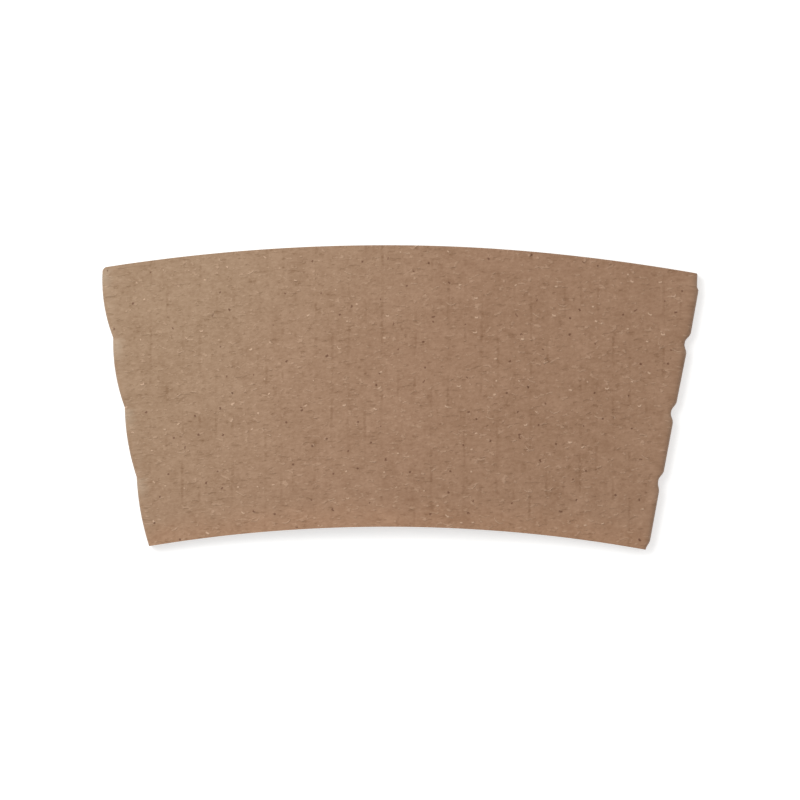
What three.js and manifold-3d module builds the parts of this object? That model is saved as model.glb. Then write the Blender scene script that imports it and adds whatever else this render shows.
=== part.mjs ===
// A corrugated card sleeve for a takeaway coffee cup, folded flat as it is packed.
//
// It is one die-cut blank of single-face board: a smooth liner outside, and a fluted medium glued to
// its inner side. The blank is a stretch of a ring. Its flutes are crushed flat along two creases,
// where it is folded back, and its two flaps lap at the middle of the back, where glue holds them.
//
// Millimetres, +Z up. The sleeve lies on its back with its wide edge towards +Y, and the origin is
// on the surface under the middle of its outline.

import * as THREE from "three";
import Module from "manifold-3d";

// The face, from crease to crease
const TOP_ARC = 132; // along the wide edge, half of the sleeve's girth there
const HEIGHT = 61.5; // from the wide edge to the narrow edge
const CUP_TAPER = 6.4; // degrees between the wall of the cup and its axis

// The board
const LINER = 0.3;
const MEDIUM = 0.25;
const FLUTE_HEIGHT = 1.25; // over the flutes, with the medium's own thickness
const FLUTE_PITCH = 3.6;
const FLUTE_LAND = 0.5; // width of each flute tip that is glued to the liner
const TIP_BITE = 0.03; // how far the glued tips sink into the liner
const MEDIUM_INSET = 0.1; // from the edge of the liner to the edge of the medium
const ARCH_STEPS = 6; // facets from one glued tip to the next
const CORNER_TRIM = 0.1; // taken off the needle-sharp corners of a panel, across the flutes

// The folds
const FACING_GAP = 0.4; // between the flutes of the face and those of the flap behind it
const CRUSHED_BOARD = 0.45; // thickness of the crushed board round a fold
const CREASE_DENT = 0.05; // how far it lies below the liner beside it
const CREASE_INSET = 0.05; // how far it draws back from the long edges
const CREASE_TUCK = 1; // how far it runs on under the liner, on either side of the bend
const SCALLOP_PITCH = 15.4; // between the notches along a fold, from the wide edge on
const SCALLOP_DEPTH = 0.7; // from a notch out to the bulge beside it
const ROUND_SCALLOP = 2; // power of the bulge's outline: an even arch
const SQUARE_SCALLOP = 5; // a flat bulge that drops steeply to its notches
const SCALLOP_STEPS = [0, 0.1, 0.3, 0.5, 0.7, 0.9]; // where a bulge's outline has its points
const BEND_STEP = 18; // degrees that each facet turns round a fold

// The glued lap
const LAP = 12;
const GLUE_FILM = 0.15; // thickness between the lapped boards
const GLUE_WIDTH = 5;
const GLUE_MARGIN = 6; // from the ends of the glue line to the edges of the board
const GLUE_BITE = 0.1; // how far the glue soaks into the board on either side

const SLIVER = 0.003; // thinnest scrap that a join may leave between two pieces

// What follows from them
const BOARD = LINER + FLUTE_HEIGHT;
const FAN = Math.PI * Math.sin(THREE.MathUtils.degToRad(CUP_TAPER)); // angle between the creases
const CREASE = FAN / 2;
const TOP_RADIUS = TOP_ARC / FAN;
const BOTTOM_RADIUS = TOP_RADIUS - HEIGHT;
const MIDDLE_RADIUS = (TOP_RADIUS + BOTTOM_RADIUS) / 2;
const FOLD_RADIUS = BOARD + FACING_GAP / 2; // of the liner's outer face round a fold
const NEUTRAL_RADIUS = FOLD_RADIUS - LINER / 2; // the liner doesn't stretch, so the bend is measured on it
const HALF_BEND = (Math.PI * NEUTRAL_RADIUS) / 2; // board taken up on each side of a crease
const RISE = BOARD + GLUE_FILM; // how far the inner flap climbs onto the outer one

// A point of the flat blank is { x, y, w }: x and y from the centre of the ring, with the flutes
// running along y, and w down from the liner's outer face. The blank is the same on both sides of
// x = 0, and a line across it is { angle, across }: turned by angle from the middle of the blank,
// and moved sideways by across.
const FACE_END = { angle: CREASE, across: -HALF_BEND };
const FLAP_START = { angle: CREASE, across: HALF_BEND };
const FLAP_END = { angle: FAN + LAP / 2 / MIDDLE_RADIUS, across: 0 };

const arcY = (radius, x) => Math.sqrt(radius ** 2 - x ** 2);
const lineY = ({ angle, across }, x) => (Math.abs(x) * Math.cos(angle) - across) / Math.sin(angle);
const lineMeetsArc = ({ angle, across }, radius) =>
  across * Math.cos(angle) + Math.sqrt(radius ** 2 - across ** 2) * Math.sin(angle);

// How deep the upper surface of the medium lies at x. Its glued tips are flat.
function mediumTop(x) {
  const along = THREE.MathUtils.euclideanModulo(x + FLUTE_LAND / 2, FLUTE_PITCH) - FLUTE_LAND;
  const turn = Math.max(along, 0) / (FLUTE_PITCH - FLUTE_LAND);
  const [shallow, deep] = [LINER - TIP_BITE, BOARD - MEDIUM];
  return THREE.MathUtils.lerp(shallow, deep, (1 - Math.cos(2 * Math.PI * turn)) / 2);
}

// Triangles on welded points, so that faces which share an edge share its points.
class WeldedMesh {
  points = [];
  triangles = [];
  known = new Map();

  point(...position) {
    const key = position.map((value) => Math.round(value * 1e6)).join();
    if (!this.known.has(key)) this.known.set(key, this.points.push(position) - 1);
    return this.known.get(key);
  }

  triangle(...corners) {
    const found = corners.map((corner) => this.point(...corner));
    if (new Set(found).size === 3) this.triangles.push(found);
  }

  // Corners run anticlockwise as seen from outside.
  quad(a, b, c, d) {
    this.triangle(a, b, c);
    this.triangle(a, c, d);
  }

  // The solid with each point moved to where place() says. If that mirrors it, so are its faces.
  solid(place, isMirrored = false) {
    const vertProperties = Float32Array.from(this.points.map((point) => place(...point)).flat());
    const triangles = isMirrored ? this.triangles.map(([a, b, c]) => [a, c, b]) : this.triangles;
    const triVerts = Uint32Array.from(triangles.flat());
    return new wasm.Manifold(new wasm.Mesh({ numProp: 3, vertProperties, triVerts }));
  }
}

// A panel of fluted board is { from, to, corners, lower, upper }: its reach along x, the places where
// its outline has corners in between, and its two edges as y for each x.
const facePanel = {
  from: CORNER_TRIM - lineMeetsArc(FACE_END, TOP_RADIUS),
  to: lineMeetsArc(FACE_END, TOP_RADIUS) - CORNER_TRIM,
  corners: [-lineMeetsArc(FACE_END, BOTTOM_RADIUS), lineMeetsArc(FACE_END, BOTTOM_RADIUS)],
  lower: (x) =>
    Math.abs(x) < lineMeetsArc(FACE_END, BOTTOM_RADIUS) ? arcY(BOTTOM_RADIUS, x) : lineY(FACE_END, x),
  upper: (x) => arcY(TOP_RADIUS, x),
};

const flapPanel = {
  from: lineMeetsArc(FLAP_START, BOTTOM_RADIUS) + CORNER_TRIM,
  to: lineMeetsArc(FLAP_END, TOP_RADIUS) - CORNER_TRIM,
  corners: [lineMeetsArc(FLAP_START, TOP_RADIUS), lineMeetsArc(FLAP_END, BOTTOM_RADIUS)],
  lower: (x) => (x < lineMeetsArc(FLAP_END, BOTTOM_RADIUS) ? arcY(BOTTOM_RADIUS, x) : lineY(FLAP_END, x)),
  upper: (x) => (x > lineMeetsArc(FLAP_START, TOP_RADIUS) ? arcY(TOP_RADIUS, x) : lineY(FLAP_START, x)),
};

// Where the section of a panel has points: at the two sides of each glued tip, which the liner shares,
// at the steps of each arch, and at the panel's ends and corners.
function sectionColumns({ from, to, corners }) {
  const fixed = [from, ...corners, to];
  const columns = fixed.map((x) => ({ x, onLiner: true }));
  for (let flute = Math.floor(from / FLUTE_PITCH); flute * FLUTE_PITCH < to + FLUTE_PITCH; flute++) {
    const tip = flute * FLUTE_PITCH;
    columns.push({ x: tip - FLUTE_LAND / 2, onLiner: true });
    for (let step = 0; step < ARCH_STEPS; step++) {
      const x = tip + FLUTE_LAND / 2 + (step * (FLUTE_PITCH - FLUTE_LAND)) / ARCH_STEPS;
      columns.push({ x, onLiner: step === 0 });
    }
  }
  const clear = (x) => fixed.every((place) => Math.abs(place - x) > CORNER_TRIM / 2);
  return columns
    .filter(({ x }) => fixed.includes(x) || (x > from && x < to && clear(x)))
    .sort((a, b) => a.x - b.x);
}

// A ply of a panel, between its top and its underside, with each point moved to where place() says.
function ply(panel, columns, top, under, place, isMirrored) {
  const mesh = new WeldedMesh();
  for (let i = 0; i + 1 < columns.length; i++) {
    const [l, r] = [columns[i].x, columns[i + 1].x];
    const corner = (x, edge, surface) => [x, edge(x), surface(x)];
    const [topNearL, topNearR] = [corner(l, panel.lower, top), corner(r, panel.lower, top)];
    const [topFarL, topFarR] = [corner(l, panel.upper, top), corner(r, panel.upper, top)];
    const [underNearL, underNearR] = [corner(l, panel.lower, under), corner(r, panel.lower, under)];
    const [underFarL, underFarR] = [corner(l, panel.upper, under), corner(r, panel.upper, under)];
    mesh.quad(topNearL, topNearR, topFarR, topFarL);
    mesh.quad(underFarL, underFarR, underNearR, underNearL);
    mesh.quad(underNearL, underNearR, topNearR, topNearL);
    mesh.quad(topFarL, topFarR, underFarR, underFarL);
    if (i === 0) mesh.quad(underFarL, underNearL, topNearL, topFarL);
    if (i + 2 === columns.length) mesh.quad(underNearR, underFarR, topFarR, topNearR);
  }
  return mesh.solid(place, isMirrored);
}

// A panel whose edges all lie further in.
const insetPanel = (panel, inset) => ({
  from: panel.from + inset,
  to: panel.to - inset,
  corners: panel.corners,
  lower: (x) => panel.lower(x) + inset,
  upper: (x) => panel.upper(x) - inset,
});

// The two plies of a panel, glued together.
function flutedPanel(panel, place, isMirrored = false) {
  const linerColumns = sectionColumns(panel).filter((column) => column.onLiner);
  const liner = ply(panel, linerColumns, () => 0, () => LINER, place, isMirrored);
  const inner = insetPanel(panel, MEDIUM_INSET);
  const mediumUnder = (x) => mediumTop(x) + MEDIUM;
  const medium = ply(inner, sectionColumns(inner), mediumTop, mediumUnder, place, isMirrored);
  return liner.add(medium);
}

// The face swells over the lap, and the inner flap lies along it. It is flat where a fold starts.
function swell(x, y) {
  const lapEnd = y * Math.tan(LAP / 2 / MIDDLE_RADIUS);
  const foldStart = (y * Math.sin(CREASE) - HALF_BEND) / Math.cos(CREASE);
  const fall = THREE.MathUtils.clamp((Math.abs(x) - lapEnd) / (foldStart - lapEnd), 0, 1);
  return RISE * Math.cos((Math.PI / 2) * fall) ** 2;
}

// How far a fold bulges beyond its notches, at a depth below the wide edge.
function scallopBulge(depth, power) {
  const place = depth / SCALLOP_PITCH;
  const fromMiddle = Math.abs(2 * (place - Math.floor(place)) - 1);
  return SCALLOP_DEPTH * (1 - fromMiddle ** power);
}

// The depths below the wide edge at which a fold has points.
function scallopDepths() {
  const scallops = Array.from({ length: Math.ceil(HEIGHT / SCALLOP_PITCH) }, (_, scallop) => scallop);
  const depths = scallops.flatMap((i) => SCALLOP_STEPS.map((step) => (i + step) * SCALLOP_PITCH));
  return [...depths.filter((depth) => depth < HEIGHT), HEIGHT];
}

// Where a point of the flat blank goes once the sleeve is folded, with the middle of its height at
// y = 0.
const toSleeve = (x, y, z) => [x, y - MIDDLE_RADIUS, z];
const placeFace = (x, y, w) => toSleeve(x, y, 2 * FOLD_RADIUS + swell(x, y) - w);

// side is 1 for the right fold and its flap, which lies inside the lap, and -1 for the left. across
// and along are distances from the crease, outwards from the face, and from the ring's centre.
const fromCrease = (across, along, side) => [
  side * (across * Math.cos(CREASE) + along * Math.sin(CREASE)),
  along * Math.cos(CREASE) - across * Math.sin(CREASE),
];

function placeBehind(across, along, w, side) {
  const [x, y] = fromCrease(-across, along, side);
  return toSleeve(x, y, w + (side > 0 ? swell(x, y) : 0));
}

// The flap is drawn on the right of the blank, so the left one is its mirror image.
function placeFlap(x, y, w, side) {
  const across = x * Math.cos(CREASE) - y * Math.sin(CREASE);
  const along = x * Math.sin(CREASE) + y * Math.cos(CREASE);
  return placeBehind(across, along, w, side);
}

function placeFold(across, along, w, bulge, side) {
  if (across < -HALF_BEND) return placeFace(...fromCrease(across, along, side), w);
  if (across > HALF_BEND) return placeBehind(across, along, w, side);
  const turn = (across + HALF_BEND) / NEUTRAL_RADIUS;
  const radius = FOLD_RADIUS - w;
  const [x, y] = fromCrease((radius + bulge) * Math.sin(turn) - HALF_BEND, along, side);
  return toSleeve(x, y, FOLD_RADIUS + radius * Math.cos(turn));
}

// The strip of crushed board round a fold. Its two sides are tucked into the panels beside it.
function foldStrip(side) {
  const bendSteps = Math.round(180 / BEND_STEP);
  const bend = Array.from({ length: bendSteps + 1 }, (_, step) => HALF_BEND * ((2 * step) / bendSteps - 1));
  const tuck = HALF_BEND + CREASE_TUCK;
  const acrosses = [-tuck, ...bend, tuck];
  const depths = scallopDepths().reverse();
  const power = side > 0 ? SQUARE_SCALLOP : ROUND_SCALLOP;
  const place = (x, y, z) => {
    const across = acrosses[x];
    const high = arcY(TOP_RADIUS, across) - CREASE_INSET;
    const low = arcY(BOTTOM_RADIUS, across) + CREASE_INSET;
    const along = THREE.MathUtils.lerp(high, low, depths[y] / HEIGHT);
    const w = z === 1 ? CREASE_DENT : CREASE_DENT + CRUSHED_BOARD;
    return placeFold(across, along, w, scallopBulge(depths[y], power), side);
  };
  const [columns, rows] = [acrosses.length - 1, depths.length - 1];
  const grid = new THREE.BoxGeometry(columns, rows, 1, columns, rows, 1);
  grid.translate(columns / 2, rows / 2, 0.5);
  return solidOf(grid, place, side < 0);
}

// The line of glue in the lap, a flat strip with round ends.
function glueLine() {
  const reach = HEIGHT / 2 - GLUE_MARGIN - GLUE_WIDTH / 2;
  const outline = new THREE.Shape();
  outline.absarc(0, reach, GLUE_WIDTH / 2, 0, Math.PI);
  outline.absarc(0, -reach, GLUE_WIDTH / 2, Math.PI, 2 * Math.PI);
  const depth = GLUE_FILM + 2 * GLUE_BITE;
  const strip = new THREE.ExtrudeGeometry(outline, { depth, bevelEnabled: false, curveSegments: 8 });
  return solidOf(strip, (x, y, z) => [x, y, z + BOARD - GLUE_BITE]);
}

// A three.js geometry as a solid, with each point moved to where place() says.
function solidOf(geometry, place, isMirrored = false) {
  const mesh = new WeldedMesh();
  const position = geometry.getAttribute("position");
  const order = geometry.index ? [...geometry.index.array] : [...Array(position.count).keys()];
  const corner = (i) => [position.getX(i), position.getY(i), position.getZ(i)];
  for (let i = 0; i < order.length; i += 3) mesh.triangle(...order.slice(i, i + 3).map(corner));
  return mesh.solid(place, isMirrored);
}

function geometryOf(solid) {
  const { vertProperties, triVerts } = solid.getMesh();
  const geometry = new THREE.BufferGeometry();
  geometry.setAttribute("position", new THREE.BufferAttribute(Float32Array.from(vertProperties), 3));
  geometry.setIndex(new THREE.BufferAttribute(Uint32Array.from(triVerts), 1));
  const faceted = geometry.toNonIndexed();
  faceted.computeVertexNormals();
  return faceted;
}

// Puts the middle of the outline over the origin, with the back on z = 0.
function restOnBack(geometry) {
  geometry.computeBoundingBox();
  const middle = geometry.boundingBox.getCenter(new THREE.Vector3());
  return geometry.translate(-middle.x, -middle.y, -geometry.boundingBox.min.z);
}

const wasm = await Module();
wasm.setup();

const pieces = [
  flutedPanel(facePanel, placeFace),
  flutedPanel(flapPanel, (x, y, w) => placeFlap(x, y, w, 1)),
  flutedPanel(flapPanel, (x, y, w) => placeFlap(x, y, w, -1), true),
  foldStrip(1),
  foldStrip(-1),
  glueLine(),
];
const whole = pieces.reduce((joined, piece) => joined.add(piece)).simplify(SLIVER);

const kraft = new THREE.MeshStandardMaterial({ color: 0xa1836b, roughness: 0.95, metalness: 0 });
const sleeve = new THREE.Mesh(restOnBack(geometryOf(whole)), kraft);
sleeve.name = "cup_sleeve";

const part = new THREE.Group();
part.add(sleeve);

export default part;
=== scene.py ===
# A corrugated card sleeve for a takeaway coffee cup, folded flat, seen from straight above.
#
# Units are metres and +Z is up. The sleeve lies on its back with its wide edge towards +Y. It is one
# blank of single-face board: a smooth liner outside and a fluted medium inside, folded along two
# creases and glued where its flaps lap behind.

import math

import bmesh
import bpy
import numpy as np
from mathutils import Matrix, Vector


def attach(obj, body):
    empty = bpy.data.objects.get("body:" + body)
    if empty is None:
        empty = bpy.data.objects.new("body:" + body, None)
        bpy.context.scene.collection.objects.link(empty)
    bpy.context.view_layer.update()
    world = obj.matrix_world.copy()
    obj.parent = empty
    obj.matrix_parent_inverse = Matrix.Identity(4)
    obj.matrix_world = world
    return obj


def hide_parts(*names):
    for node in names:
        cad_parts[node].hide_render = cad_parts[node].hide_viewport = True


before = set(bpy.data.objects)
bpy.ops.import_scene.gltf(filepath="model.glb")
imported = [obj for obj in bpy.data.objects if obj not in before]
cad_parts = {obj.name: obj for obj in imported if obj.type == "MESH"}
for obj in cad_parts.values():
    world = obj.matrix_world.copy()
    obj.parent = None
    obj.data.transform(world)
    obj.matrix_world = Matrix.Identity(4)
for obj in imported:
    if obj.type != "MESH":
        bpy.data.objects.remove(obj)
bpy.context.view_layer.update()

MM = 0.001

# The blank and the board, as the solid has them
TOP_ARC = 132 * MM
HEIGHT = 61.5 * MM
CUP_TAPER = math.radians(6.4)
LINER = 0.3 * MM
MEDIUM = 0.25 * MM
FLUTE_HEIGHT = 1.25 * MM
FLUTE_PITCH = 3.6 * MM
FLUTE_LAND = 0.5 * MM
FACING_GAP = 0.4 * MM
SCALLOP_PITCH = 15.4 * MM
LAP = 12 * MM
GLUE_FILM = 0.15 * MM
GLUE_WIDTH = 5 * MM
GLUE_MARGIN = 6 * MM

# What follows from them
BOARD = LINER + FLUTE_HEIGHT
FAN = math.pi * math.sin(CUP_TAPER)
CREASE = FAN / 2
TOP_RADIUS = TOP_ARC / FAN
BOTTOM_RADIUS = TOP_RADIUS - HEIGHT
MIDDLE_RADIUS = (TOP_RADIUS + BOTTOM_RADIUS) / 2
FLAP_END = FAN + LAP / 2 / MIDDLE_RADIUS
FOLD_RADIUS = BOARD + FACING_GAP / 2
NEUTRAL_RADIUS = FOLD_RADIUS - LINER / 2
HALF_BEND = math.pi * NEUTRAL_RADIUS / 2
RISE = BOARD + GLUE_FILM
SCALLOPS = math.ceil(HEIGHT / SCALLOP_PITCH)

# The power of the fold's section, where 2 would be a half circle
FOLD_POWER = 3.6

# The bulges of each fold, from the wide edge down: how far each stands out. Those at the left are even
# arches. Those at the right are flat, and fall into a notch between these two shares of the way from
# their middle to their end. The first of them has no notch above it.
LEFT_BULGES = np.array([0.88, 0.76, 0.60, 0.52]) * MM
RIGHT_BULGES = np.array([0.93, 0.80, 0.84, 0.60]) * MM
ARCH_POWER = 2.0
NOTCH_LIP = 0.70
NOTCH_FLOOR = 0.97

# How far the fold's ends and its notches stand out beyond a straight crease, from the wide edge down
LEFT_STAND = np.array([-0.17, 0.10, 0.15, 0.13, -0.05]) * MM
RIGHT_STAND = np.array([0.0, 0.05, -0.15, -0.15, -0.12]) * MM

# The upper right corner: a straight slant, down to the small step of a nick
CORNER_SLANT = 0.165
NICK_PLACE = 3.3 * MM
NICK_STEP = 0.8 * MM

# The crushed corners of the wide edge at the left and at the right, and how many times their size
# they reach down. The edge is a little flatter than its arc, and lower at its right end.
CORNER_ROUND = {-1: 1.0 * MM, 1: 0.25 * MM}
CORNER_REACH = 3
EDGE_FLATTENING = 0.32 * MM
RIGHT_END_DROP = 0.3 * MM

# Shallow dents that the pinched notches leave in the face
DENT_DEPTH = {-1: 0.22 * MM, 1: 0.12 * MM}
DENT_REACH = 2.2 * MM
DENT_INSET = 1.2 * MM

# The slow waves of the face, which fade towards the folds, and how far the liner sinks between the
# flutes that hold it
WAVE = 0.05 * MM
WAVE_LENGTHS = (9 * MM, 14 * MM)
SLANTED_WAVE_LENGTHS = (17 * MM, 11 * MM)
WAVE_START = 1.3
WAVE_FADE = 12 * MM
RIPPLE = 0.012 * MM

# The crushed medium: how high its flutes still stand at a crease, how far from the bend they stand
# up in full, and how deep it wrinkles round the fold
CRUSHED_SHARE = 0.12
CRUSHED_REACH = 1.6 * MM
WRINKLE = 0.05 * MM
MEDIUM_INSET = 0.1 * MM

# The squeezed line of glue: how far it swells past its film, the least share of its width at its
# ends, and how much and how quickly its edge wanders
GLUE_SQUEEZE = 0.08 * MM
GLUE_END_WIDTH = 1e-4
GLUE_WANDER = 0.12
GLUE_WANDER_RATE = 9
GLUE_WOBBLE = 0.07
GLUE_WOBBLE_RATE = 23

# The spacing of the meshes' points
FACE_STEP = 0.5 * MM
FOLD_STEP = 0.22 * MM
FLAP_STEP = 1.5 * MM
FOLD_ZONE = 4 * MM
SCALLOP_STEPS = 25
NOTCH_CROWDING = 0.6
FLUTE_STEPS = 12
FLUTE_ROWS = 16
BEND_STEP = 0.28 * MM
BEND_ROW = 0.8 * MM
BEND_OVERLAP = 0.4 * MM
BEND_INSET = 0.05 * MM
GLUE_ROWS = 81
GLUE_COLUMNS = 9
CLOSEST_POINTS = 0.05 * MM
TINY = 1e-6
SHARP_ANGLE = math.radians(50)


def smoothstep(low, high, value):
    """0 up to low, 1 from high on, and a smooth change between."""
    share = np.clip((value - low) / (high - low), 0, 1)
    return share * share * (3 - 2 * share)


# The fold


def scallop_bulge(depth, side):
    """How far a fold stands out beyond a straight crease, at a depth below the wide edge."""
    place = np.clip(depth / SCALLOP_PITCH, 0, SCALLOPS - TINY)
    number = place.astype(int)
    towards_notch = np.abs(2 * (place - number) - 1)
    notches = np.arange(SCALLOPS + 1)
    left_stand = np.interp(place, notches, LEFT_STAND)
    left = LEFT_BULGES[number] * (1 - towards_notch**ARCH_POWER) + left_stand
    flat = 1 - smoothstep(NOTCH_LIP, NOTCH_FLOOR, np.where(place < 0.5, 0, towards_notch))
    right = RIGHT_BULGES[number] * flat + np.interp(place, notches, RIGHT_STAND)
    past_nick = smoothstep(NICK_PLACE - NICK_STEP / 2, NICK_PLACE + NICK_STEP / 2, depth)
    right = CORNER_SLANT * depth * (1 - past_nick) + right * past_nick
    return np.where(side > 0, right, left)


def edge_drop(x, depth, from_rim, side):
    """How far the sleeve lies below its even form: the wide edge is flatter, and its corners round."""
    corner = np.where(side > 0, CORNER_ROUND[1], CORNER_ROUND[-1])
    within = np.clip(corner - from_rim, 0, corner)
    rounding = corner - np.sqrt(corner**2 - within**2)
    rounding = rounding * np.clip(1 - depth / (CORNER_REACH * corner), 0, 1)
    middle = 1 - (2 * x / TOP_ARC) ** 2
    flattening = EDGE_FLATTENING * middle + RIGHT_END_DROP * smoothstep(0, TOP_ARC / 2, x)
    return rounding + flattening * np.clip(1 - depth / HEIGHT, 0, 1)


def swell(x, y):
    """The face swells over the lap, and the inner flap lies along it."""
    lap_end = y * math.tan(LAP / 2 / MIDDLE_RADIUS)
    fold_start = (y * math.sin(CREASE) - HALF_BEND) / math.cos(CREASE)
    fall = np.clip((np.abs(x) - lap_end) / (fold_start - lap_end), 0, 1)
    return RISE * np.cos(math.pi / 2 * fall) ** 2


def face_relief(x, y, across, depth, side):
    """How far the face lies below its even form: slow waves, and dents beside the notches."""
    wave = np.sin(x / WAVE_LENGTHS[0] + WAVE_START) * np.sin(y / WAVE_LENGTHS[1])
    wave = wave + np.sin(x / SLANTED_WAVE_LENGTHS[0] - y / SLANTED_WAVE_LENGTHS[1])
    relief = WAVE / 2 * (1 + wave / 2) * smoothstep(HALF_BEND, HALF_BEND + WAVE_FADE, -across)
    from_notch = depth - SCALLOP_PITCH * np.round(depth / SCALLOP_PITCH)
    inward = -across - HALF_BEND + DENT_INSET
    dent = np.exp(-((inward / DENT_REACH) ** 2) - (from_notch / DENT_REACH) ** 2)
    deep = np.where(side > 0, DENT_DEPTH[1], DENT_DEPTH[-1])
    return relief + deep * dent


def folded(x, y, w):
    """Where points of the flat blank lie in the sleeve. x and y are measured from the centre of the
    ring, with the flutes along y, and w is the depth below the liner's outer face."""
    side = np.where(x < 0, -1.0, 1.0)
    across = side * x * math.cos(CREASE) - y * math.sin(CREASE)
    along = side * x * math.sin(CREASE) + y * math.cos(CREASE)
    depth = TOP_RADIUS - np.hypot(x, y)

    turn = np.clip((across + HALF_BEND) / NEUTRAL_RADIUS, 0, math.pi)
    square = (np.sin(turn) ** FOLD_POWER + np.abs(np.cos(turn)) ** FOLD_POWER) ** (-1 / FOLD_POWER)
    radius = (FOLD_RADIUS - w) * square
    bulge = scallop_bulge(depth, side)
    outwards = (radius + bulge) * np.sin(turn) - HALF_BEND
    outwards = np.where(across < -HALF_BEND, across, outwards)
    outwards = np.where(across > HALF_BEND, -across, outwards)

    folded_x = side * (outwards * math.cos(CREASE) + along * math.sin(CREASE))
    folded_y = along * math.cos(CREASE) - outwards * math.sin(CREASE)
    from_rim = FOLD_RADIUS + bulge - HALF_BEND - outwards
    folded_y = folded_y - edge_drop(folded_x, depth, from_rim, side)

    lift = swell(folded_x, folded_y)
    on_face = 2 * FOLD_RADIUS - w + lift
    behind = w + np.where(side > 0, lift, 0)
    folded_z = FOLD_RADIUS + radius * np.cos(turn)
    folded_z = np.where(across < -HALF_BEND, on_face, folded_z)
    folded_z = np.where(across > HALF_BEND, behind, folded_z)
    upper = np.clip(1 - turn / (math.pi / 2), 0, 1)
    folded_z = folded_z - upper * face_relief(x, y, across, depth, side)
    return np.stack([folded_x, folded_y, folded_z], axis=-1)


# Sheets


def stops(*stretches):
    """Positions through stretches of (start, end, step)."""
    parts = [np.linspace(a, b, max(2, round(abs(b - a) / step) + 1)) for a, b, step in stretches]
    return np.unique(np.round(np.concatenate(parts), 9))


def sheet_mesh(name, outer, inner, flat_outer, flat_inner):
    """A closed sheet between two grids of points. Its faces carry the material index 0 on the outer
    side, 1 on the inner side and 2 round the edge. The flat places of the points go with them."""
    rows, columns = outer.shape[:2]
    count = rows * columns
    index = np.arange(count).reshape(rows, columns)
    corners = [index[:-1, :-1], index[:-1, 1:], index[1:, 1:], index[1:, :-1]]
    front = np.stack(corners, axis=-1).reshape(-1, 4)
    back = front[:, ::-1] + count
    rim = np.concatenate([index[0], index[1:, -1], index[-1, -2::-1], index[-2:0:-1, 0]])
    after = np.roll(rim, -1)
    edge = np.stack([after, rim, rim + count, after + count], axis=-1)
    faces = np.concatenate([front, back, edge])
    sides = np.repeat([0, 1, 2], [len(front), len(back), len(edge)])

    mesh = bpy.data.meshes.new(name)
    points = np.concatenate([outer.reshape(-1, 3), inner.reshape(-1, 3)])
    mesh.from_pydata(points.tolist(), [], faces.tolist())
    mesh.polygons.foreach_set("material_index", sides)
    mesh.polygons.foreach_set("use_smooth", np.ones(len(faces), dtype=bool))
    flat = np.concatenate([flat_outer.reshape(-1, 3), flat_inner.reshape(-1, 3)])
    mesh.attributes.new("flat", "FLOAT_VECTOR", "POINT").data.foreach_set("vector", flat.ravel())
    mesh.set_sharp_from_angle(angle=SHARP_ANGLE)
    mesh.update()
    return mesh


def folded_sheet(name, x, y, w_outer, w_inner, x_inner=None):
    """The mesh of a sheet of the blank, folded to its place."""
    x_inner = x if x_inner is None else x_inner
    outer = folded(x, y, w_outer) - OUTLINE_MIDDLE
    inner = folded(x_inner, y, w_inner) - OUTLINE_MIDDLE
    flat_outer = np.stack([x, y, w_outer], axis=-1)
    flat_inner = np.stack([x_inner, y, w_inner], axis=-1)
    return sheet_mesh(name, outer, inner, flat_outer, flat_inner)


def joined(name, meshes, materials):
    """One piece of the sleeve, from several meshes that share their material slots."""
    whole = bmesh.new()
    for mesh in meshes:
        whole.from_mesh(mesh)
        bpy.data.meshes.remove(mesh)
    bmesh.ops.recalc_face_normals(whole, faces=whole.faces)
    mesh = bpy.data.meshes.new(name)
    whole.to_mesh(mesh)
    whole.free()
    for material in materials:
        mesh.materials.append(material)
    piece = bpy.data.objects.new(name, mesh)
    bpy.context.scene.collection.objects.link(piece)
    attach(piece, "root")
    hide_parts("cup_sleeve")


# The liner


def liner_grid():
    """Points of the flat blank that follow its folds and crowd towards its notches."""
    crease = CREASE * MIDDLE_RADIUS
    end = FLAP_END * MIDDLE_RADIUS
    right = stops(
        (0, crease - FOLD_ZONE, FACE_STEP),
        (crease - FOLD_ZONE, crease + FOLD_ZONE, FOLD_STEP),
        (crease + FOLD_ZONE, end, FLAP_STEP),
    )
    along_arc = np.concatenate([-right[:0:-1], right])
    share = np.arange(SCALLOP_STEPS * SCALLOPS + 1) / SCALLOP_STEPS
    crowded = share - NOTCH_CROWDING * np.sin(2 * math.pi * share) / (2 * math.pi)
    depths = SCALLOP_PITCH * crowded
    depths = np.append(depths[depths < HEIGHT - 2 * CLOSEST_POINTS], HEIGHT)
    radius, angle = np.meshgrid(TOP_RADIUS - depths[::-1], along_arc / MIDDLE_RADIUS, indexing="ij")
    return radius * np.sin(angle), radius * np.cos(angle)


def outline_middle():
    """The middle of the folded sleeve's outline, which lies over the origin."""
    x, y = liner_grid()
    points = folded(x, y, np.zeros_like(x)).reshape(-1, 3)
    middle = (points.min(axis=0) + points.max(axis=0)) / 2
    return np.array([middle[0], middle[1], 0])


OUTLINE_MIDDLE = outline_middle()


def liner_mesh():
    """The smooth outer ply, from the end of one flap to the end of the other."""
    x, y = liner_grid()
    ripple = RIPPLE * (1 + np.cos(2 * math.pi * x / FLUTE_PITCH)) / 2
    return folded_sheet("liner", x, y, ripple, np.full_like(x, LINER))


# The medium


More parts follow.
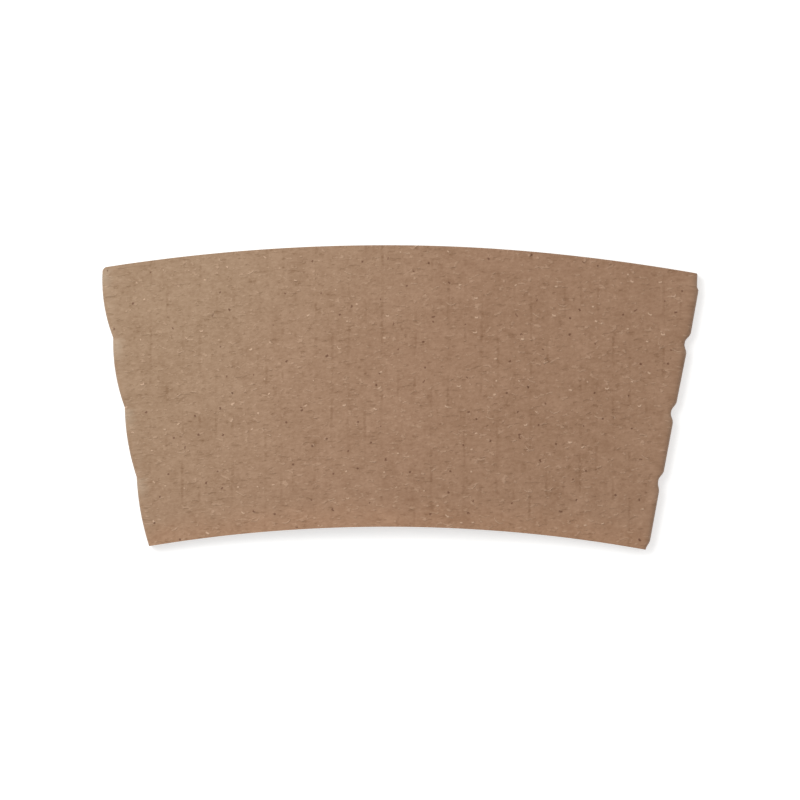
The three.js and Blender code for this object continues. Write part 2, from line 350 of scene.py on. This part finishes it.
def flute_section(start, end):
    """Points along the middle of the medium from start to end: x, depth below the liner's outer face,
    and how far the medium tilts."""
    first = math.floor(start / FLUTE_PITCH) - 1
    last = math.ceil(end / FLUTE_PITCH) + 1
    reach = FLUTE_PITCH - FLUTE_LAND
    tips = np.arange(first, last) * FLUTE_PITCH
    wave = FLUTE_LAND / 2 + reach * np.arange(FLUTE_STEPS) / FLUTE_STEPS
    x = np.add.outer(tips, np.append(-FLUTE_LAND / 2, wave)).ravel()
    x = x[(x > start + CLOSEST_POINTS) & (x < end - CLOSEST_POINTS)]
    x = np.unique(np.concatenate([[start], x, [end]]))
    along = np.mod(x + FLUTE_LAND / 2, FLUTE_PITCH) - FLUTE_LAND
    phase = 2 * math.pi * np.maximum(along, 0) / reach
    swing = (FLUTE_HEIGHT - MEDIUM) / 2
    slope = np.where(along > 0, swing * np.sin(phase) * 2 * math.pi / reach, 0)
    return x, LINER + MEDIUM / 2 + swing * (1 - np.cos(phase)), np.arctan(slope)


def arc_y(radius, x):
    """The height at x of an arc round the centre of the ring."""
    return np.sqrt(radius**2 - x**2)


def line_y(angle, across, x):
    """The height at x of a line beside the radius at an angle, which lies so far across from it."""
    return (np.abs(x) * math.cos(angle) - across) / math.sin(angle)


def line_meets_arc(angle, across, radius):
    """The x at which such a line meets an arc."""
    return across * math.cos(angle) + math.sqrt(radius**2 - across**2) * math.sin(angle)


def medium_panel(name, start, end, lower, upper, mirrored=False):
    """A stretch of the medium with its flutes standing, crushed towards the crease beside it."""
    x, depth, tilt = flute_section(start, end)
    rows = (1 - np.cos(math.pi * np.arange(FLUTE_ROWS + 1) / FLUTE_ROWS)) / 2
    y = lower(x) + rows[:, None] * (upper(x) - lower(x))
    x = np.broadcast_to(x, y.shape)
    across = np.abs(x) * math.cos(CREASE) - y * math.sin(CREASE)
    full = smoothstep(HALF_BEND, HALF_BEND + CRUSHED_REACH, np.abs(across))
    standing = CRUSHED_SHARE + (1 - CRUSHED_SHARE) * full
    middle = LINER + MEDIUM / 2 + standing * (depth - LINER - MEDIUM / 2)
    tilt = np.arctan(np.tan(tilt) * standing)
    step_x = MEDIUM / 2 * np.sin(tilt)
    step_w = MEDIUM / 2 * np.cos(tilt)
    sign = -1 if mirrored else 1
    return folded_sheet(
        name, sign * (x + step_x), y, middle - step_w, middle + step_w, x_inner=sign * (x - step_x)
    )


def medium_bend(name, side):
    """The crushed medium round a fold."""
    reach = HALF_BEND + BEND_OVERLAP
    across = stops((-reach, reach, BEND_STEP))
    depth = stops((BEND_INSET, HEIGHT - BEND_INSET, BEND_ROW))
    radius, across = np.meshgrid(TOP_RADIUS - depth[::-1], across, indexing="ij")
    along = np.sqrt(radius**2 - across**2)
    x = side * (across * math.cos(CREASE) + along * math.sin(CREASE))
    y = along * math.cos(CREASE) - across * math.sin(CREASE)
    wrinkle = WRINKLE * (1 - np.cos(2 * math.pi * x / FLUTE_PITCH))
    return folded_sheet(name, x, y, LINER + wrinkle, LINER + wrinkle + MEDIUM)


def face_medium():
    """The medium behind the face, between the two creases."""
    face_low = line_meets_arc(CREASE, -HALF_BEND, BOTTOM_RADIUS)
    end = line_meets_arc(CREASE, -HALF_BEND, TOP_RADIUS) - MEDIUM_INSET

    def lower(x):
        on_arc = arc_y(BOTTOM_RADIUS, np.minimum(np.abs(x), face_low))
        return np.where(np.abs(x) < face_low, on_arc, line_y(CREASE, -HALF_BEND, x))

    def upper(x):
        return arc_y(TOP_RADIUS, x)

    return medium_panel("medium_face", -end, end, lower, upper)


def flap_medium(name, mirrored):
    """The medium of a flap, from its crease to its end."""
    flap_top = line_meets_arc(CREASE, HALF_BEND, TOP_RADIUS)
    end_low = line_meets_arc(FLAP_END, 0, BOTTOM_RADIUS)
    start = line_meets_arc(CREASE, HALF_BEND, BOTTOM_RADIUS) + MEDIUM_INSET
    end = line_meets_arc(FLAP_END, 0, TOP_RADIUS) - MEDIUM_INSET

    def lower(x):
        on_arc = arc_y(BOTTOM_RADIUS, np.minimum(x, end_low))
        return np.where(x < end_low, on_arc, line_y(FLAP_END, 0, x))

    def upper(x):
        return np.where(x > flap_top, arc_y(TOP_RADIUS, x), line_y(CREASE, HALF_BEND, x))

    return medium_panel(name, start, end, lower, upper, mirrored)


def medium_meshes():
    """The fluted ply: its three panels, and the crushed bends between them."""
    return [
        face_medium(),
        flap_medium("medium_right", mirrored=False),
        flap_medium("medium_left", mirrored=True),
        medium_bend("bend_right", 1),
        medium_bend("bend_left", -1),
    ]


# The glue


def glue_mesh():
    """The line of glue in the lap: a strip with round ends, squeezed out unevenly."""
    reach = HEIGHT / 2 - GLUE_MARGIN
    end_radius = GLUE_WIDTH / 2
    s, t = np.meshgrid(np.linspace(-1, 1, GLUE_ROWS), np.linspace(-1, 1, GLUE_COLUMNS), indexing="ij")
    into_end = 1 - np.minimum((1 - np.abs(s)) * reach / end_radius, 1)
    round_end = np.sqrt(np.clip(1 - into_end**2, GLUE_END_WIDTH, 1))
    wander = GLUE_WANDER * np.sin(GLUE_WANDER_RATE * s + 0.5)
    wander = wander + GLUE_WOBBLE * np.sin(GLUE_WOBBLE_RATE * s)
    x = t * end_radius * round_end * (1 + wander) - OUTLINE_MIDDLE[0]
    y = s * reach + MIDDLE_RADIUS - OUTLINE_MIDDLE[1]
    middle = BOARD + GLUE_FILM / 2
    half = (GLUE_FILM / 2 + GLUE_SQUEEZE) * (1 - np.abs(t) ** 4 / 2)
    top = np.stack([x, y, middle + half], axis=-1)[:, ::-1]
    under = np.stack([x, y, middle - half], axis=-1)[:, ::-1]
    return sheet_mesh("glue", top, under, top, under)


# Materials


def srgb(red, green, blue):
    """A colour given as it shows on a screen, from 0 to 255."""
    linear = [((c / 255 + 0.055) / 1.055) ** 2.4 for c in (red, green, blue)]
    return (*linear, 1.0)


KRAFT = srgb(158, 122, 95.5)
PAINTED_SHEEN = srgb(163, 137, 109)
# The colour of the painted sheen on the left side of the face
WARM = srgb(169, 128, 98)
# The colour of the painted highlights on the folds
PAINTED_HIGHLIGHT = srgb(188, 170, 148)
PALE_FIBRE = srgb(220, 186, 158)
DARK_FIBRE = srgb(100, 61, 35)
MEDIUM_KRAFT = srgb(150, 119, 93)
CUT_KRAFT = srgb(172, 142, 114)
DRIED_GLUE = srgb(196, 178, 146)
PALE_GLUE = srgb(226, 214, 190)

# How strongly the liner's tone changes its red, green and blue: its dark marks are redder
TONE_SHARES = (0.80, 1.03, 1.32)

LINER_ROUGHNESS = 0.55
MEDIUM_ROUGHNESS = 0.93
CUT_ROUGHNESS = 0.95
GLUE_ROUGHNESS = 0.45
SPECULAR = 0.4

# Layers of noise: the size in millimetres, the detail and the strength. The first five change the
# liner's tone, and the next two its height.
FINE_GRAIN = (0.6, 2.0, 0.45)
GRAIN = (1.4, 2.0, 0.42)
MOTTLE = (4.0, 2.0, 0.33)
CLOUDS = (12.0, 2.0, 0.22)
WIDE_CLOUDS = (40.0, 1.0, 0.06)
GRAIN_RELIEF = (0.5, 3.0, 0.08)
SURFACE_RELIEF = (2.2, 2.0, 0.07)
SLOW_WAVER = (9.0, 1.0, 0.6)
QUICK_WAVER = (0.9, 1.0, 0.25)
HIGHLIGHT_EDGE = (1.2, 2.0, 2.4)
SHEEN_EDGE = (30.0, 1.0, 30.0)
WARM_EDGE = (6.0, 2.0, 6.0)
MEDIUM_GRAIN = (0.5, 3.0, 0.3)
MEDIUM_MOTTLE = (2.5, 2.0, 0.25)
MEDIUM_RELIEF = (0.4, 3.0, 0.06)
MEDIUM_TONE = 0.995

# How far the grain, the dashes and the pale blobs are drawn out along x, and where each of them and
# the clouds lie in their noise, so that they don't coincide
GRAIN_STRETCH = 0.7
DASH_STRETCH = 0.42
BLOB_STRETCH = 0.6
DASH_LAYER = 40.0
BLOB_LAYER = 80.0
CLOUD_LAYER = 140.0

# Dashes and blobs: their size in millimetres, and the noise at which they begin and are full
GRAIN_MARK = 0.75
GRAIN_MARK_SHOWS = (0.61, 0.73)

# Marks in the paper, in millimetres. Every mark lies in a cell of its own, and only a share of the
# cells has one. The spread is how far their directions differ, in radians.
PALE_STROKES = dict(cell=4.0, share=0.24, length=0.75, width=0.25, spread=1.2, seed=3.1)
THREADS = dict(cell=8.0, share=0.5, length=1.7, width=0.2, spread=1.2, seed=83.1)
FAINT_STROKES = dict(cell=2.1, share=0.5, length=0.9, width=0.18, spread=1.4, seed=23.9)
SPECKS = dict(cell=5.6, share=0.45, length=0.54, width=0.31, spread=6.0, seed=51.1)
DARK_STROKES = dict(cell=15.0, share=0.5, length=0.8, width=0.2, spread=4.0, seed=67.9)
MEDIUM_STROKES = dict(cell=2.8, share=0.5, length=1.2, width=0.13, spread=6.0, seed=5.3)
TEAR_SIZE = 0.6
TEAR_REACH = 0.4

# The form of every stroke: how far it lies from its cell's middle, how much it bends, and the shares
# of its length and its width at which it begins to fade
STROKE_SCATTER = 0.85
STROKE_BEND = 1.6
STROKE_END = 0.6
STROKE_CORE = 0.3

# The lines over the flute tips, in millimetres: half their width, dark and in all, the length over
# which their strength changes, and how far apart two lines lie in the noise that changes it
FLUTE_LINE_CORE = 0.06
FLUTE_LINE_REACH = 0.48
FLUTE_LINE_LENGTH = 10.0
FLUTE_LINE_APART = 7.3
FLUTE_LINE_SHOWS = (0.46, 0.68)

# The breaks in them: their size, the noise that makes them, and the strength that is left there
BREAK_SIZE = 1.1
BREAK_SHOWS = (0.35, 0.55)
BREAK_STRENGTH = 0.35

# The painted highlights on the folds, in millimetres: where they begin on the face and are full,
# where they end towards the flap, where they fade below a notch and how far from it they begin.
# What is left of them lower down and at the right fold is a share of their strength.
HIGHLIGHT_ON_FACE = (-3.4, -0.8)
HIGHLIGHT_TO_FLAP = (0.8, 3.0)
HIGHLIGHT_BELOW_NOTCH = (1.5, 6.0)
HIGHLIGHT_FROM_NOTCH = 0.9
HIGHLIGHT_LOWER_DOWN = 0.12
HIGHLIGHT_AT_RIGHT = 0.2

# The painted sheen and the warm edge, in millimetres: the stretches over which they come and go
SHEEN_STRETCH = (-15.0, 80.0)
SHEEN_SLANT = 0.5
SHEEN_FOLD = 6.0
WARM_STRETCH = (0.5, 7.0)

# The fibres of the cut edge and the clouds of the glue
CUT_FIBRES = (0.18, 3.0, 0.7)
CUT_TONE = 0.5
CUT_RELIEF = 0.08
GLUE_CLOUDS = (1.5, 3.0)
GLUE_RELIEF = 0.05

# How much each mark changes the tone of the liner
FLUTE_LINE_TONE = -0.21
DASH_TONE = -0.11
FAINT_TONE = 0.11

# How far each mark and patch covers the paper with its colour; the sheen and the fold highlights are
# painted light
SHEEN_COVER = 0.6
WARM_COVER = 0.5
HIGHLIGHT_COVER = 0.45
BLOB_COVER = 0.19
PALE_COVER = 0.6
THREAD_COVER = 0.3
SPECK_COVER = 0.8
DARK_COVER = 0.7
MEDIUM_PALE_COVER = 0.5

# How high each mark stands, in millimetres
FIBRE_RELIEF = 0.08
BLOB_RELIEF = 0.07
DASH_RELIEF = -0.07
FLUTE_LINE_RELIEF = -0.05


class Graph:
    """A material under construction. Each method adds a node or a few, and gives their output."""

    def __init__(self, name):
        self.material = bpy.data.materials.new(name)
        self.material.use_nodes = True
        self.tree = self.material.node_tree
        self.tree.nodes.clear()
        self.output = self.tree.nodes.new("ShaderNodeOutputMaterial")

    def add(self, kind, inputs=(), **settings):
        node = self.tree.nodes.new(kind)
        for name, value in settings.items():
            setattr(node, name, value)
        for key, value in dict(inputs).items():
            self.set(node.inputs[key], value)
        return node

    def set(self, socket, value):
        if isinstance(value, bpy.types.NodeSocket):
            self.tree.links.new(value, socket)
        else:
            socket.default_value = value

    def math(self, operation, *values, clamp=False):
        node = self.add("ShaderNodeMath", enumerate(values), operation=operation, use_clamp=clamp)
        return node.outputs[0]

    def times(self, first, second):
        return self.math("MULTIPLY", first, second)

    def total(self, *values):
        whole = values[0]
        for value in values[1:]:
            whole = self.math("ADD", whole, value)
        return whole

    def vector(self, operation, *values):
        return self.add("ShaderNodeVectorMath", enumerate(values), operation=operation).outputs[0]

    def scaled(self, vector, factor):
        inputs = {0: vector, "Scale": factor}
        return self.add("ShaderNodeVectorMath", inputs, operation="SCALE").outputs[0]

    def split(self, vector):
        return self.add("ShaderNodeSeparateXYZ", {0: vector}).outputs

    def joined(self, x, y, z):
        return self.add("ShaderNodeCombineXYZ", {0: x, 1: y, 2: z}).outputs[0]

    def ease(self, value, low, high, first=0.0, last=1.0):
        """first where value is at low, last where it is at high, and a smooth change between."""
        inputs = {"Value": value, "From Min": low, "From Max": high, "To Min": first, "To Max": last}
        return self.add("ShaderNodeMapRange", inputs, interpolation_type="SMOOTHSTEP").outputs[0]

    def noise(self, vector, size, detail, roughness=0.5):
        """Even noise from 0 to 1, with features of the given size."""
        inputs = {"Vector": vector, "Scale": 1 / size, "Detail": detail, "Roughness": roughness}
        return self.add("ShaderNodeTexNoise", inputs).outputs["Fac"]

    def swing(self, noise, strength):
        """Even noise made to swing about zero."""
        return self.times(self.math("SUBTRACT", noise, 0.5), strength)

    def layer(self, vector, size, detail, strength):
        """Noise of the given size that swings about zero."""
        return self.swing(self.noise(vector, size, detail), strength)

    def mix(self, factor, first, second):
        inputs = {"Factor": factor, 6: first, 7: second}
        return self.add("ShaderNodeMix", inputs, data_type="RGBA").outputs[2]

    def covered(self, colour, mask, cover, over):
        """A colour with another over it, as strongly as the mask and the cover say."""
        return self.mix(self.times(mask, cover), colour, over)

    def strokes(self, place, cell, share, length, width, spread, seed):
        """Short curved strokes in random places: a mask from 0 to 1."""
        shifted = self.vector("ADD", self.scaled(place, 1 / cell), (seed, seed * 1.7, 0.0))
        inputs = {"Vector": shifted, "Scale": 1.0, "Randomness": STROKE_SCATTER}
        cells = self.add("ShaderNodeTexVoronoi", inputs, voronoi_dimensions="2D", feature="F1")
        red, green, blue = self.split(cells.outputs["Color"])
        local = self.scaled(self.vector("SUBTRACT", shifted, cells.outputs["Position"]), cell)
        angle = self.times(self.math("SUBTRACT", red, 0.5), spread)
        rotate = {"Vector": local, "Angle": angle}
        turned = self.add("ShaderNodeVectorRotate", rotate, rotation_type="Z_AXIS").outputs[0]
        along, beside, _ = self.split(turned)
        curve = self.times(self.math("SUBTRACT", green, 0.5), STROKE_BEND / length)
        bent = self.math("SUBTRACT", beside, self.times(curve, self.times(along, along)))
        reach = self.times(length / 2, self.math("ADD", green, 0.5))
        run = self.math("DIVIDE", self.math("ABSOLUTE", along), reach)
        on_length = self.ease(run, STROKE_END, 1.0, 1.0, 0.0)
        on_width = self.ease(self.math("ABSOLUTE", bent), width * STROKE_CORE, width, 1.0, 0.0)
        chosen = self.math("LESS_THAN", blue, share)
        return self.times(self.times(on_length, on_width), chosen)

    def finish(self, colour, roughness, height):
        """Gives the material its surface. height is in millimetres."""
        inputs = {"Base Color": colour, "Roughness": roughness, "Specular IOR Level": SPECULAR}
        surface = self.add("ShaderNodeBsdfPrincipled", inputs)
        bump = self.add("ShaderNodeBump", {"Height": height, "Distance": MM, "Strength": 1.0})
        self.tree.links.new(bump.outputs[0], surface.inputs["Normal"])
        self.tree.links.new(surface.outputs[0], self.output.inputs["Surface"])
        return self.material


def flat_place(g):
    """The place on the flat blank, in millimetres."""
    attribute = g.add("ShaderNodeAttribute", attribute_name="flat", attribute_type="GEOMETRY")
    return g.scaled(attribute.outputs["Vector"], 1 / MM)


def object_place(g):
    """The place on the object, in millimetres."""
    return g.scaled(g.add("ShaderNodeTexCoord").outputs["Object"], 1 / MM)


def ragged_shift(g, place):
    """A shift in every direction that makes a stroke's outline ragged."""
    inputs = {"Vector": place, "Scale": 1 / TEAR_SIZE, "Detail": 1.0}
    noise = g.add("ShaderNodeTexNoise", inputs).outputs["Color"]
    return g.scaled(g.vector("SUBTRACT", noise, (0.5, 0.5, 0.5)), TEAR_REACH)


def flute_lines(g, place, x, y):
    """Faint dark lines over the flute tips, partly the glue behind them and partly painted shade of
    the
    washboard relief: wavering, broken and of uneven strength.
    """
    pitch = FLUTE_PITCH / MM
    waver = g.total(g.layer(place, *SLOW_WAVER), g.layer(place, *QUICK_WAVER))
    flutes = g.math("DIVIDE", g.math("ADD", x, waver), pitch)
    number = g.math("ROUND", flutes)
    from_tip = g.times(g.math("ABSOLUTE", g.math("SUBTRACT", flutes, number)), pitch)
    line = g.ease(from_tip, FLUTE_LINE_CORE, FLUTE_LINE_REACH, 1.0, 0.0)
    along = g.math("DIVIDE", y, FLUTE_LINE_LENGTH)
    along_flute = g.joined(g.times(number, FLUTE_LINE_APART), along, 0.0)
    stretch = g.ease(g.noise(along_flute, 1.0, 3.0, 0.65), *FLUTE_LINE_SHOWS)
    broken = g.ease(g.noise(place, BREAK_SIZE, 2.0), *BREAK_SHOWS, BREAK_STRENGTH, 1.0)
    return g.times(g.times(line, stretch), broken)


def across_fold(g, x, y):
    """How far a place on the blank lies beyond the fold beside it, from below zero on the face to
    above zero on the flap."""
    slant = g.times(g.math("ABSOLUTE", x), math.cos(CREASE))
    return g.math("SUBTRACT", slant, g.times(y, math.sin(CREASE)))


def from_centre(g, x, y):
    """How far a place on the blank lies from the centre of the ring."""
    flat = g.joined(x, y, 0.0)
    return g.add("ShaderNodeVectorMath", {0: flat}, operation="LENGTH").outputs["Value"]


def painted_fold_highlights(g, place, x, y):
    """Painted highlights: paler patches on the left fold, below its corner and notches, where the fold
    tilts towards the light. They reach a few millimetres into the face, and end before the flap. The
    right fold has only a trace of them."""
    across = across_fold(g, x, y)
    depth = g.math("SUBTRACT", TOP_RADIUS / MM, from_centre(g, x, y))
    below_notch = g.math("WRAP", depth, SCALLOP_PITCH / MM, 0.0)
    ragged = g.layer(place, *HIGHLIGHT_EDGE)
    near_fold = g.ease(g.math("ADD", across, ragged), *HIGHLIGHT_ON_FACE)
    before_flap = g.ease(across, *HIGHLIGHT_TO_FLAP, 1.0, 0.0)
    lower_down = g.math("ADD", below_notch, ragged)
    under_notch = g.ease(lower_down, *HIGHLIGHT_BELOW_NOTCH, 1.0, HIGHLIGHT_LOWER_DOWN)
    from_notch = g.ease(below_notch, 0.0, HIGHLIGHT_FROM_NOTCH)
    on_left = g.ease(x, -1.0, 1.0, 1.0, HIGHLIGHT_AT_RIGHT)
    on_fold = g.times(near_fold, before_flap)
    at_notch = g.times(under_notch, from_notch)
    return g.times(g.times(on_fold, at_notch), on_left)


def painted_sheen_side(g, place, x, y):
    """A painted sheen of light from the left: the face's colour made paler and yellower towards the
    left end of its wide edge.
    """
    height = g.math("SUBTRACT", y, MIDDLE_RADIUS / MM)
    towards = g.math("SUBTRACT", g.times(height, SHEEN_SLANT), x)
    sheen_share = g.ease(g.math("ADD", towards, g.layer(place, *SHEEN_EDGE)), *SHEEN_STRETCH)
    on_face = g.ease(across_fold(g, x, y), 0.0, SHEEN_FOLD, 1.0, 0.0)
    return g.times(sheen_share, on_face)


def warm_edge(g, place, x, y):
    """A warmer band, a few millimetres wide, along the narrow edge."""
    height = g.math("SUBTRACT", from_centre(g, x, y), BOTTOM_RADIUS / MM)
    return g.ease(g.math("ADD", height, g.layer(place, *WARM_EDGE)), *WARM_STRETCH, 1.0, 0.0)


def grain_marks(g, x, y, stretch, layer):
    """Soft marks that lie along the grain: a mask from 0 to 1."""
    noise = g.noise(g.joined(g.times(x, stretch), y, layer), GRAIN_MARK, 1.0)
    return g.ease(noise, *GRAIN_MARK_SHOWS)


def liner_mottle(g, place, x, y, grained):
    """The uneven tone of the paper, from its fine grain to wide clouds."""
    clouded = g.joined(x, y, CLOUD_LAYER)
    return g.total(
        g.layer(grained, *FINE_GRAIN),
        g.layer(grained, *GRAIN),
        g.layer(place, *MOTTLE),
        g.layer(clouded, *CLOUDS),
        g.layer(clouded, *WIDE_CLOUDS),
    )


def kraft_liner():
    """Smooth recycled kraft paper: a horizontal grain with dark dashes, pale fibres and specks, faint
    dark lines over the flute tips, partly the glue behind them and partly painted shade of the
    washboard relief, a painted sheen towards the left, and painted highlights on the folds."""
    g = Graph("kraft_liner")
    place = flat_place(g)
    x, y, _ = g.split(place)
    grained = g.joined(g.times(x, GRAIN_STRETCH), y, 0.0)
    torn = g.vector("ADD", place, ragged_shift(g, place))
    dash = grain_marks(g, x, y, DASH_STRETCH, DASH_LAYER)
    blob = grain_marks(g, x, y, BLOB_STRETCH, BLOB_LAYER)
    flute_line = flute_lines(g, place, x, y)
    pale = g.strokes(torn, **PALE_STROKES)
    thread = g.strokes(torn, **THREADS)

    tone = g.total(
        liner_mottle(g, place, x, y, grained),
        # The flute lines darken the tone: partly the glue behind them, partly painted shade of the
        # washboard relief
        g.times(flute_line, FLUTE_LINE_TONE),
        g.times(dash, DASH_TONE),
        g.times(g.strokes(torn, **FAINT_STROKES), FAINT_TONE),
    )
    # Painted sheen: the face made paler and yellower towards the left
    tint = g.covered(KRAFT, painted_sheen_side(g, place, x, y), SHEEN_COVER, PAINTED_SHEEN)
    tint = g.covered(tint, warm_edge(g, place, x, y), WARM_COVER, WARM)
    toned = g.vector("MULTIPLY_ADD", TONE_SHARES, tone, (1.0, 1.0, 1.0))
    colour = g.vector("MULTIPLY", tint, toned)
    # Painted highlights on the left fold, below its corner and notches
    colour = g.covered(colour, painted_fold_highlights(g, place, x, y), HIGHLIGHT_COVER, PAINTED_HIGHLIGHT)
    colour = g.covered(colour, blob, BLOB_COVER, PALE_FIBRE)
    colour = g.covered(colour, pale, PALE_COVER, PALE_FIBRE)
    colour = g.covered(colour, thread, THREAD_COVER, PALE_FIBRE)
    colour = g.covered(colour, g.strokes(torn, **SPECKS), SPECK_COVER, DARK_FIBRE)
    colour = g.covered(colour, g.strokes(torn, **DARK_STROKES), DARK_COVER, DARK_FIBRE)

    height = g.total(
        g.layer(grained, *GRAIN_RELIEF),
        g.layer(place, *SURFACE_RELIEF),
        g.times(g.math("ADD", pale, thread), FIBRE_RELIEF),
        g.times(blob, BLOB_RELIEF),
        g.times(dash, DASH_RELIEF),
        g.times(flute_line, FLUTE_LINE_RELIEF),
    )
    return g.finish(colour, LINER_ROUGHNESS, height)


def kraft_medium():
    """The fluted ply: a rougher and slightly darker paper, with pale fibres in every direction."""
    g = Graph("kraft_medium")
    place = flat_place(g)
    tone = g.total(MEDIUM_TONE, g.layer(place, *MEDIUM_GRAIN), g.layer(place, *MEDIUM_MOTTLE))
    pale = g.strokes(place, **MEDIUM_STROKES)
    colour = g.covered(g.scaled(MEDIUM_KRAFT[:3], tone), pale, MEDIUM_PALE_COVER, PALE_FIBRE)
    return g.finish(colour, MEDIUM_ROUGHNESS, g.layer(place, *MEDIUM_RELIEF))


def cut_edge():
    """Board where the die cut it: paler, with loose fibres."""
    g = Graph("cut_edge")
    fibres = g.noise(object_place(g), *CUT_FIBRES)
    colour = g.scaled(CUT_KRAFT[:3], g.math("ADD", 1.0, g.swing(fibres, CUT_TONE)))
    return g.finish(colour, CUT_ROUGHNESS, g.times(fibres, CUT_RELIEF))


def dried_glue():
    """Dried white glue: cream, a little glossy and uneven."""
    g = Graph("dried_glue")
    cloud = g.noise(object_place(g), *GLUE_CLOUDS)
    colour = g.mix(cloud, DRIED_GLUE, PALE_GLUE)
    return g.finish(colour, GLUE_ROUGHNESS, g.times(cloud, GLUE_RELIEF))


# The scene


def add_sleeve():
    """The sleeve's three pieces: outer face, inner face and cut edge each have their material."""
    liner, medium, edge, glue = kraft_liner(), kraft_medium(), cut_edge(), dried_glue()
    joined("liner", [liner_mesh()], [liner, liner, edge])
    joined("fluted_medium", medium_meshes(), [medium, medium, edge])
    joined("glue_line", [glue_mesh()], [glue, glue, glue])


STUDIO_LIGHT = 0.56
FLOOR_SIZE = 1.6
FLOOR_DROP = 0.05 * MM
FLOOR_SHADE = 0.8
FLOOR_LIFT = 0.48

# The one lamp, in metres and watts. It aims at the origin.
LAMP_PLACE = (-0.25, 0.18, 0.40)
LAMP_SIZE = 0.30
LAMP_POWER = 1.5
LAMP_COLOUR = (1.0, 1.0, 0.98)


def white_floor():
    """Pale and dull, and lifted to white where it is seen. The sleeve's shadow stays on it."""
    g = Graph("white_floor")
    rays = g.add("ShaderNodeLightPath").outputs
    seen = g.math("ADD", rays["Is Camera Ray"], rays["Is Glossy Ray"])
    seen = g.math("ADD", seen, rays["Is Transmission Ray"], clamp=True)
    paper = g.add("ShaderNodeBsdfDiffuse", {"Color": (FLOOR_SHADE, FLOOR_SHADE, FLOOR_SHADE, 1)})
    lift = g.add("ShaderNodeEmission", {"Strength": g.times(seen, FLOOR_LIFT)})
    both = g.add("ShaderNodeAddShader", {0: paper.outputs[0], 1: lift.outputs[0]})
    g.tree.links.new(both.outputs[0], g.output.inputs["Surface"])
    return g.material


def add_floor():
    """The surface that the sleeve lies on."""
    mesh = bpy.data.meshes.new("floor")
    half = FLOOR_SIZE / 2
    corners = [(-half, -half, 0), (half, -half, 0), (half, half, 0), (-half, half, 0)]
    mesh.from_pydata(corners, [], [(0, 1, 2, 3)])
    mesh.materials.append(white_floor())
    floor = bpy.data.objects.new("floor", mesh)
    floor.location.z = -FLOOR_DROP
    bpy.context.scene.collection.objects.link(floor)


def add_lamp():
    """A soft lamp, up and to the left of the sleeve."""
    light = bpy.data.lights.new("key", "AREA")
    light.size = LAMP_SIZE
    light.energy = LAMP_POWER
    light.color = LAMP_COLOUR
    lamp = bpy.data.objects.new("key", light)
    lamp.location = LAMP_PLACE
    lamp.rotation_euler = (-Vector(LAMP_PLACE)).to_track_quat("-Z", "Y").to_euler()
    bpy.context.scene.collection.objects.link(lamp)


def add_world():
    """An even white studio, which the camera sees as plain white."""
    world = bpy.data.worlds.new("studio")
    world.use_nodes = True
    tree = world.node_tree
    rays = tree.nodes.new("ShaderNodeLightPath").outputs
    seen = tree.nodes.new("ShaderNodeMapRange")
    seen.inputs["To Min"].default_value = STUDIO_LIGHT
    seen.inputs["To Max"].default_value = 1.0
    tree.links.new(rays["Is Camera Ray"], seen.inputs["Value"])
    background = tree.nodes["Background"]
    background.inputs["Color"].default_value = (1, 1, 1, 1)
    tree.links.new(seen.outputs[0], background.inputs["Strength"])
    bpy.context.scene.world = world


# The photograph's frame: 800 pixels across, and the pixel at the middle of the object
IMAGE_SIZE = 800
PIXEL = 0.218 * MM
OBJECT_MIDDLE = (399.5, 396.8)
ROLL = math.radians(0.42)
LENS = 200.0
SENSOR = 36.0


def add_camera():
    """A long lens straight above, so far that the frame is as wide as the photograph's."""
    data = bpy.data.cameras.new("camera")
    data.lens = LENS
    data.sensor_width = SENSOR
    camera = bpy.data.objects.new("camera", data)
    x = (IMAGE_SIZE / 2 - OBJECT_MIDDLE[0]) * PIXEL
    y = (OBJECT_MIDDLE[1] - IMAGE_SIZE / 2) * PIXEL
    camera.location = (x, y, IMAGE_SIZE * PIXEL * LENS / SENSOR + FOLD_RADIUS)
    camera.rotation_euler = (0, 0, ROLL)
    bpy.context.scene.collection.objects.link(camera)
    bpy.context.scene.camera = camera


add_camera()
add_sleeve()
add_floor()
add_world()
add_lamp()
bpy.context.scene.view_settings.view_transform = "Standard"
